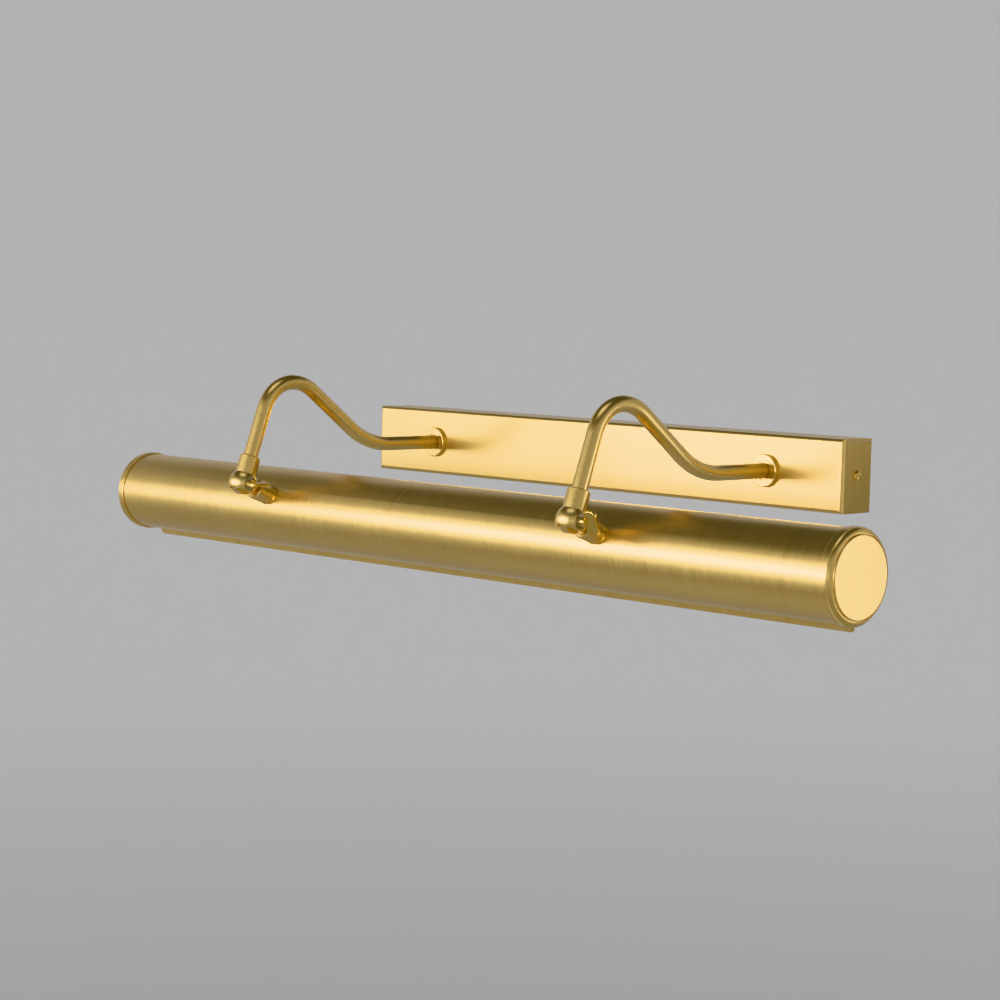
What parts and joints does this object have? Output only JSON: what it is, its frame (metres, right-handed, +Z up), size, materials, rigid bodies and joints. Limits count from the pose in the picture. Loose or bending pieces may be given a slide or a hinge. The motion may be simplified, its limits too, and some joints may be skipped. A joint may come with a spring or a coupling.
{
  "type": "picture light",
  "caption": "Brass picture light: folded cover box on a wall bracket, bent arms and a slotted tubular shade that tilts on clamped knuckles.",
  "frame": {"origin": "centre of the wall bracket's rear face, on the wall", "axes": "+X along the wall and the shade, +Y into the wall (the light stands out towards -Y), +Z up"},
  "size_m": [0.6498, 0.2133, 0.1227],
  "materials": {
    "satin_brass": "brushed, lacquered",
    "polished_brass": "turned and polished, lacquered",
    "plain_brass": "machined, not polished",
    "zinc_steel": "bright zinc plated",
    "white_plastic": "moulded",
    "black_plastic": "moulded phenolic",
    "black_rubber": "moulded",
    "lead_sleeve": "extruded sleeve",
    "nickel_cap": "nickel plated",
    "clear_glass": "clear"
  },
  "bodies": {
    "wall_unit": {"wall_bracket": "zinc_steel", "cable_grommet": "black_rubber", "cover": "satin_brass", "cover_screws": "polished_brass", "terminal_block": "white_plastic", "terminal_screws": "zinc_steel", "terminal_block_screw": "zinc_steel", "earth_screw": "zinc_steel", "earth_washer": "zinc_steel", "lead_arm_left": "lead_sleeve", "lead_arm_right": "lead_sleeve", "arm_nuts": "zinc_steel", "arm_lock_washers": "zinc_steel", "rosette_left": "polished_brass", "rosette_right": "polished_brass", "arm_left": "satin_brass", "arm_right": "satin_brass", "knuckle_body_left": "satin_brass", "knuckle_body_right": "satin_brass", "clamp_washer_left": "zinc_steel", "clamp_washer_right": "zinc_steel"},
    "wing_screw_left": {"wing_screw_left": "polished_brass"},
    "wing_screw_right": {"wing_screw_right": "polished_brass"},
    "shade": {"knuckle_tongue_left": "satin_brass", "knuckle_tongue_right": "satin_brass", "shade_tube": "satin_brass", "end_cap_left": "satin_brass", "end_cap_right": "satin_brass", "shade_nipples": "plain_brass", "shade_nuts": "zinc_steel", "shade_lock_washers": "zinc_steel", "lamp_bracket_left": "zinc_steel", "lamp_bracket_right": "zinc_steel", "lampholder_left": "black_plastic", "lampholder_right": "black_plastic", "lampholder_contacts_left": "plain_brass", "lampholder_contacts_right": "plain_brass", "holder_nipples": "plain_brass", "holder_nuts": "zinc_steel", "lamp_cap_left": "nickel_cap", "lamp_cap_right": "nickel_cap", "lamp_glass_left": "clear_glass", "lamp_glass_right": "clear_glass", "lead_shade_left": "lead_sleeve", "lead_shade_right": "lead_sleeve"}
  },
  "joints": [
    {"name": "shade_tilt", "type": "hinge", "parent": "wall_unit", "child": "shade", "pos_m": [0, -0.20382, -0.0228], "axis": [1, 0, 0], "range_deg": [-75, 20]},
    {"name": "wing_turn_left", "type": "hinge", "parent": "wall_unit", "child": "wing_screw_left", "pos_m": [-0.15215, -0.20382, -0.0228], "axis": [1, 0, 0], "range_deg": [0, 180]},
    {"name": "wing_turn_right", "type": "hinge", "parent": "wall_unit", "child": "wing_screw_right", "pos_m": [0.15215, -0.20382, -0.0228], "axis": [1, 0, 0], "range_deg": [0, 180]}
  ]
}
